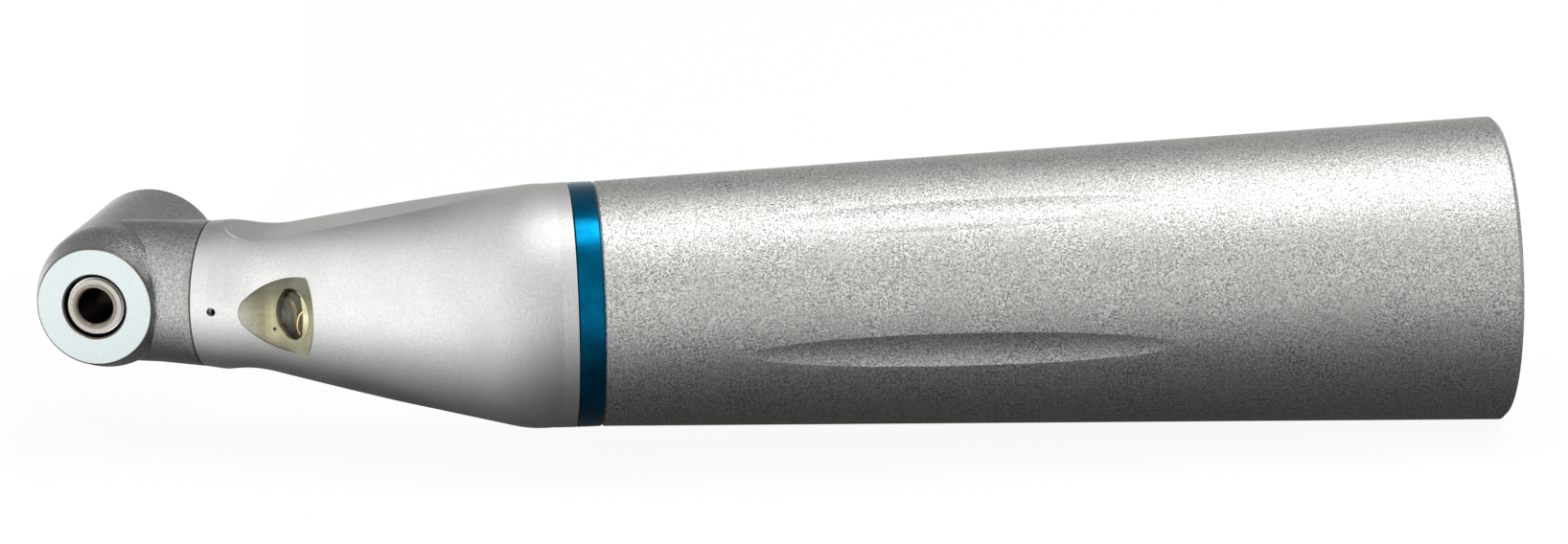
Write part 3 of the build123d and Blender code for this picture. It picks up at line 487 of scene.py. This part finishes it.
def plastic(name, color, rough, mottling=0.1, smear=0.05, scale=900):
    """Plastic or rubber with slight mottling."""
    tree = material_tree(name)
    fine = tree.noise(scale, 3.0)
    tone = tree.blend(tree.spread(fine, 0, 1), shade(color, 1 - mottling), shade(color, 1 + mottling))
    gloss = tree.spread(fine, rough - smear, rough + smear)
    skin = tree.bump(fine, 0.1, 0.00002)
    return tree.finish(tree.principled(Base_Color=tone, Roughness=gloss, Normal=skin))


paint(plastic("seal_rubber", (0.03, 0.03, 0.03), 0.6), "sleeve_seal")
paint(plastic("lead_insulation", (0.45, 0.05, 0.04), 0.4), "lamp_leads")
paint(plastic("lamp_phosphor", (0.10, 0.09, 0.035), 0.5), "lamp_chip")


def window_resin():
    """Amber casting resin: grainy, with painted light that makes it pale round the lamp, pale at its tip,
    with painted shade that makes it dark above, and grey at its sides.
    """
    tree = material_tree("window_resin")
    fine = tree.noise(4200, 3.0, 0.6)
    broad = tree.noise(500, 2.0)
    tone = tree.blend(tree.spread(broad, 0, 1), (0.30, 0.275, 0.15, 1), (0.38, 0.355, 0.21, 1))

    length = tree.along(bend_point, neck_axis)
    # Painted light: a paler colour on the slope round the lamp, which lies in the window's shade.
    painted_light_share = tree.math(
        "MULTIPLY", tree.spread(length, 0, 1, 0.0145, 0.0158), tree.spread(length, 1, 0, 0.0168, 0.0174)
    )
    tone = tree.blend(painted_light_share, tone, (0.68, 0.63, 0.38, 1))

    height = tree.along(bend_point, upward)
    side = tree.math("ABSOLUTE", height)
    # Each fade: what it follows, where it starts and ends, how much there is of its colour at the end.
    fades = (
        (length, 0.0176, 0.0189, 0.8, (0.62, 0.63, 0.56, 1)),
        # Painted shade: darker towards the top, where the pocket's wall shades the resin.
        (height, 0.0, 0.0014, 0.75, (0.08, 0.075, 0.04, 1)),
        (side, 0.0014, 0.0021, 0.6, (0.2, 0.2, 0.17, 1)),
        (fine, 0.3, 0.7, 0.3, (0.12, 0.11, 0.07, 1)),
    )
    for value, start, end, share, color in fades:
        tone = tree.blend(tree.spread(value, 0, share, start, end), tone, color)

    void_radius = 0.00012
    void_blur = 0.00003
    void_place = bend_point + neck_axis * 0.0167 + neck_front * 0.00438 - upward * 0.0011
    void_gap = tree.vector("DISTANCE", tree.place(), void_place, "Value")
    tone = tree.blend(tree.past(void_gap, void_radius, void_blur), (0.01, 0.01, 0.008, 1), tone)

    gloss = tree.spread(fine, 0.35, 0.55)
    skin = tree.bump(fine, 0.4, 0.00003)
    return tree.finish(tree.principled(Base_Color=tone, Roughness=gloss, Normal=skin))


def lamp_glass():
    """Clear casting with an amber tint, and on its edge towards the handle a painted reflection of the gilt
    cup, as gilt metal on the glass.
    """
    # Where the painted reflection starts towards the handle, how it bows back across the dome, and its soft
    # edge.
    reflection_from = 0.00142
    reflection_bow = 250.0
    reflection_blur = 0.00003
    tree = material_tree("lamp_glass")
    fine = tree.noise(300, 2.0)
    glass_color = tree.blend(fine, (0.35, 0.31, 0.19, 1), (0.5, 0.45, 0.3, 1))
    painted_reflection_color = tree.blend(fine, (0.58, 0.57, 0.36, 1), (0.7, 0.7, 0.5, 1))
    glass = tree.principled(Base_Color=glass_color, Roughness=tree.spread(fine, 0.01, 0.05))
    glass.inputs["Transmission Weight"].default_value = 1.0
    glass.inputs["IOR"].default_value = 1.45
    # Painted reflection: the gilt cup seen through the glass, put on the glass as opaque gilt metal.
    painted_reflection = tree.principled(Base_Color=painted_reflection_color, Metallic=1.0, Roughness=0.3)
    across = tree.along(lamp_point, upward)
    rear = tree.along(lamp_point, lamp_rear)
    edge = tree.math("MULTIPLY_ADD", tree.math("MULTIPLY", across, across), reflection_bow, rear)
    on_painted_reflection = tree.past(edge, reflection_from, reflection_blur)
    return tree.finish(
        tree.add("ShaderNodeMixShader", i0=on_painted_reflection, i1=glass.outputs[0], i2=painted_reflection.outputs[0])
    )


resin = window_resin()
paint(resin, "light_window")
paint(lamp_glass(), "lamp_lens")

# ---------------------------------------------------------------- the lamp's bond wire

# The lamp's dome is part of a ball. Its middle lies this far below the slope that the lamp is set in.
dome_ball = 0.0022343
dome_ball_depth = 0.0014343
wire_radius = 0.00006
# The wire's points on the dome: towards the handle, and up across it.
wire_places = (
    (0.00146, 0.00054),
    (0.00126, 0.00034),
    (0.00114, -0.0001),
    (0.00102, -0.00058),
    (0.00098, -0.0009),
    (0.00098, -0.00114),
)


def dome_point(rear, across):
    """A point on the dome."""
    height = math.sqrt(dome_ball**2 - rear**2 - across**2) - dome_ball_depth
    return lamp_point + lamp_rear * rear + upward * across + lamp_direction * height


wire_curve = bpy.data.curves.new("bond_wire", "CURVE")
wire_curve.dimensions = "3D"
wire_curve.bevel_depth = wire_radius
wire_curve.bevel_resolution = 4
wire_curve.use_fill_caps = True
wire_spline = wire_curve.splines.new("NURBS")
wire_spline.points.add(len(wire_places) - 1)
for point, (rear, across) in zip(wire_spline.points, wire_places):
    point.co = (*dome_point(rear, across), 1)
wire_spline.order_u = 3
wire_spline.use_endpoint_u = True
wire_curve.materials.append(metal("wire_gold", (0.95, 0.68, 0.3), 0.2, speckle=0.05))
bond_wire = new_object("bond_wire", wire_curve)
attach(bond_wire, "handpiece")

# ---------------------------------------------------------------- the resin that closes in on the lamp

# The window's front ramp goes down from its front end to the valley, where the lamp's slope begins.
ramp_front = 0.01899
ramp_front_off = 0.00491
ramp_slope = math.tan(math.radians(13))
valley_at = 0.01595
# The lamp's bore in that slope, and how far the dome's edge stands above the slope.
bore_radius = 0.00171
dome_edge = 0.00005
# The collar's least thickness, how far it goes to each side, and how finely it is made.
collar_least = 0.000002
collar_reach = 0.00155
collar_steps = 48
halvings = 40


def ramp_point(length, across):
    """A point on the window's front ramp."""
    off = ramp_front_off - (ramp_front - length) * ramp_slope
    return bend_point + neck_axis * length + neck_front * off + upward * across


def in_bore(length, across):
    """Whether the ramp's line there is inside the lamp's bore."""
    bore_rear = -math.sqrt(bore_radius**2 - across**2)
    return (ramp_point(length, 0) - lamp_point).dot(lamp_rear) > bore_rear


def in_dome(length, across):
    """Whether the ramp is inside the dome there, or has come down to the dome's edge."""
    height = (ramp_point(length, across) - lamp_point).dot(lamp_direction)
    ball_middle = lamp_point - lamp_direction * dome_ball_depth
    return height < dome_edge or (ramp_point(length, across) - ball_middle).length < dome_ball


def last_place(test, across, near, far):
    """The last distance from near to far that passes a test, found by halving."""
    for _ in range(halvings):
        middle = (near + far) / 2
        if test(middle, across):
            near = middle
        else:
            far = middle
    return near


def collar_row(across):
    """Four points of the collar: on the ramp at the bore and the dome, and under each at the dome's edge."""
    outer = last_place(in_bore, across, valley_at, ramp_front)
    inner = last_place(in_dome, across, valley_at, outer)
    row = []
    for length in (outer, inner):
        top = ramp_point(length, across)
        height = (top - lamp_point).dot(lamp_direction)
        row.extend((top, top - lamp_direction * max(height - dome_edge, collar_least)))
    return row


collar_rows = [collar_row(collar_reach * (2 * step / collar_steps - 1)) for step in range(collar_steps + 1)]
collar_faces = []
for step in range(collar_steps):
    first = step * 4
    for one, two in ((0, 2), (2, 3), (3, 1), (1, 0)):
        collar_faces.append((first + one, first + two, first + 4 + two, first + 4 + one))
last = collar_steps * 4
collar_faces.extend(((0, 1, 3, 2), (last, last + 2, last + 3, last + 1)))
collar_mesh = bpy.data.meshes.new("lamp_collar")
collar_mesh.from_pydata([tuple(point) for row in collar_rows for point in row], [], collar_faces)
collar_mesh.materials.append(resin)
lamp_collar = new_object("lamp_collar", collar_mesh)
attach(lamp_collar, "handpiece")

# ---------------------------------------------------------------- the spring, as a copy with its own mesh

button_spring = new_object("compression_spring", frame["nodes"]["button_spring"].data.copy())
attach(button_spring, "handpiece")
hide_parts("button_spring")
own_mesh(button_spring)

# ---------------------------------------------------------------- studio

floor_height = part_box("rear_sleeve")[0].z - 0.0001
floor_size = 6.0
floor_color = (0.8, 0.8, 0.8, 1)
# The share of its own glow in what the camera sees of the floor. The rest takes the part's shadow.
floor_glow = 0.93
# What metal sees, where 1 is white: in front, behind, and what is added low down behind and on the left.
front_level = 0.99
back_level = 0.36
horizon_level = 0.33
left_level = 0.8
# The painted shade on the floor that metal sees in place of the part's shadow: what it leaves at its middle,
# and how far it reaches.
shade_middle = 0.0676
shade_reach = 0.042
neck_shade_reach = 0.012
# It follows the bent neck, and past the head's tip it ends sooner.
neck_lean = 0.325
tip_at = -0.095
tip_haste = 2.0
# Where along the part the shade narrows, where the floor turns brighter, and what is in front of the part.
neck_fade = (-0.072, -0.06)
left_fade = (-0.09, -0.07)
front_fade = (-0.004, 0.004)


def floor_material():
    """White to the camera and through glass, with the part's soft shadow.

    Metal sees the floor's glow with a painted pool of light to the left and a painted shade close to the
    part, in place of the part's shadow. The painted shade reaches less far in front of the thin neck.
    """
    tree = material_tree("floor_white")
    spot = tree.add("ShaderNodeSeparateXYZ", Vector=tree.place())
    x, y = spot.outputs[0], spot.outputs[1]

    past_bend = tree.math("MAXIMUM", tree.math("SUBTRACT", bend_point.x, x), 0.0)
    behind = tree.math("MULTIPLY_ADD", past_bend, -neck_lean, y)
    past_tip = tree.math("MAXIMUM", tree.math("SUBTRACT", tip_at, x), 0.0)
    past_ends = tree.math("MULTIPLY_ADD", past_tip, tip_haste, tree.math("MAXIMUM", x, 0.0))
    away = tree.add("ShaderNodeCombineXYZ", X=past_ends, Y=behind)
    distance = tree.length(away.outputs[0])

    in_front_of_neck = tree.math(
        "MULTIPLY", tree.spread(x, 1.0, 0.0, *neck_fade), tree.spread(behind, 1.0, 0.0, *front_fade)
    )
    reach = tree.math("MULTIPLY_ADD", in_front_of_neck, neck_shade_reach - shade_reach, shade_reach)
    distance_square = tree.math("MULTIPLY", distance, distance)
    reach_square = tree.math("MULTIPLY", reach, reach)
    # Painted shade: the floor's glow for metal falls off near the part.
    after_painted_shade = tree.math(
        "DIVIDE",
        tree.math("MULTIPLY_ADD", reach_square, shade_middle, distance_square),
        tree.math("ADD", distance_square, reach_square),
    )
    # Painted light: the floor's glow for metal is brighter to the left.
    side_level = tree.math("MULTIPLY_ADD", tree.spread(x, 1.0, 0.0, *left_fade), left_level, front_level)

    seen = tree.plainly_seen()
    level = tree.math("MAXIMUM", seen, tree.math("MULTIPLY", after_painted_shade, side_level))
    glossy = tree.add("ShaderNodeLightPath").outputs["Is Glossy Ray"]
    share = tree.math("MAXIMUM", tree.math("MULTIPLY", seen, floor_glow), glossy)
    matt = tree.add("ShaderNodeBsdfDiffuse", Color=floor_color)
    glow = tree.add("ShaderNodeEmission", Color=white, Strength=level)
    tree.owner.cycles.emission_sampling = "NONE"
    return tree.finish(
        tree.add("ShaderNodeMixShader", i0=share, i1=matt.outputs[0], i2=glow.outputs[0])
    )


def room_world():
    """White to the camera and through glass.

    Metal and matt surfaces see it bright in front and brighter to the left, dim behind, and less dim low
    down behind. Each fade is in cosines of the angle to its direction.
    """
    front_direction = (-0.35, -0.93, 0.1)
    room = Tree(bpy.data.worlds.new("studio_world"))
    direction = room.add("ShaderNodeTexCoord").outputs["Generated"]
    ahead = room.vector("DOT_PRODUCT", direction, front_direction, "Value")
    left = room.vector("DOT_PRODUCT", direction, neck_axis, "Value")
    height = room.vector("DOT_PRODUCT", direction, upward, "Value")
    main_glow = room.spread(ahead, back_level, front_level, 0.05, 0.75)
    left_glow = room.math(
        "MULTIPLY", room.spread(left, 0.0, left_level, 0.2, 0.45), room.spread(ahead, 0.0, 1.0, -0.4, 0.3)
    )
    low_glow = room.math(
        "MULTIPLY",
        room.spread(height, 1.0, 0.0, 0.12, 0.45),
        room.spread(ahead, horizon_level, 0.0, -0.5, 0.0),
    )
    level = room.math("ADD", main_glow, room.math("ADD", left_glow, low_glow))
    plain = room.add("ShaderNodeBackground", Color=white, Strength=1.0)
    graded = room.add("ShaderNodeBackground", Color=white, Strength=level)
    mixed = room.add(
        "ShaderNodeMixShader", i0=room.plainly_seen(), i1=graded.outputs[0], i2=plain.outputs[0]
    )
    return room.finish(mixed, "ShaderNodeOutputWorld")


bpy.ops.mesh.primitive_plane_add(size=floor_size, location=(0, 0, floor_height))
floor = bpy.context.object
floor.name = "studio_floor"
floor.data.materials.append(floor_material())

bpy.context.scene.world = room_world()

# The overhead soft box faces down, and looks `box_level` times as bright as white.
box_level = 5.6
box_light = bpy.data.lights.new("overhead_box", "AREA")
box_light.shape = "RECTANGLE"
box_light.size = 0.38
box_light.size_y = 0.18
box_light.energy = box_level * math.pi * box_light.size * box_light.size_y
overhead_box = new_object("overhead_box", box_light)
overhead_box.location = (0.11, -0.03, 0.4)

# ---------------------------------------------------------------- camera

camera_azimuth = math.radians(-5.333)
camera_elevation = math.radians(14.07)
camera_roll = math.radians(-0.97)
camera_distance = 0.5198
camera_target = Vector((-0.04677, 0, 0.00162))
image_width = 1636
focal_pixels = 8306

camera_data = bpy.data.cameras.new("camera")
camera_data.sensor_width = 36.0
camera_data.lens = focal_pixels / image_width * camera_data.sensor_width
camera_data.clip_start = 0.01
camera_data.clip_end = 20
camera = new_object("camera", camera_data)
toward_camera = Vector(
    (
        math.sin(camera_azimuth) * math.cos(camera_elevation),
        -math.cos(camera_azimuth) * math.cos(camera_elevation),
        math.sin(camera_elevation),
    )
)
level_right = upward.cross(toward_camera).normalized()
level_up = toward_camera.cross(level_right)
right = level_right * math.cos(camera_roll) + level_up * math.sin(camera_roll)
up = toward_camera.cross(right)
facing = Matrix((right, up, toward_camera)).transposed().to_4x4()
camera.matrix_world = Matrix.Translation(camera_target + toward_camera * camera_distance) @ facing
bpy.context.scene.camera = camera
bpy.context.scene.view_settings.view_transform = "Standard"

# ---------------------------------------------------------------- finish

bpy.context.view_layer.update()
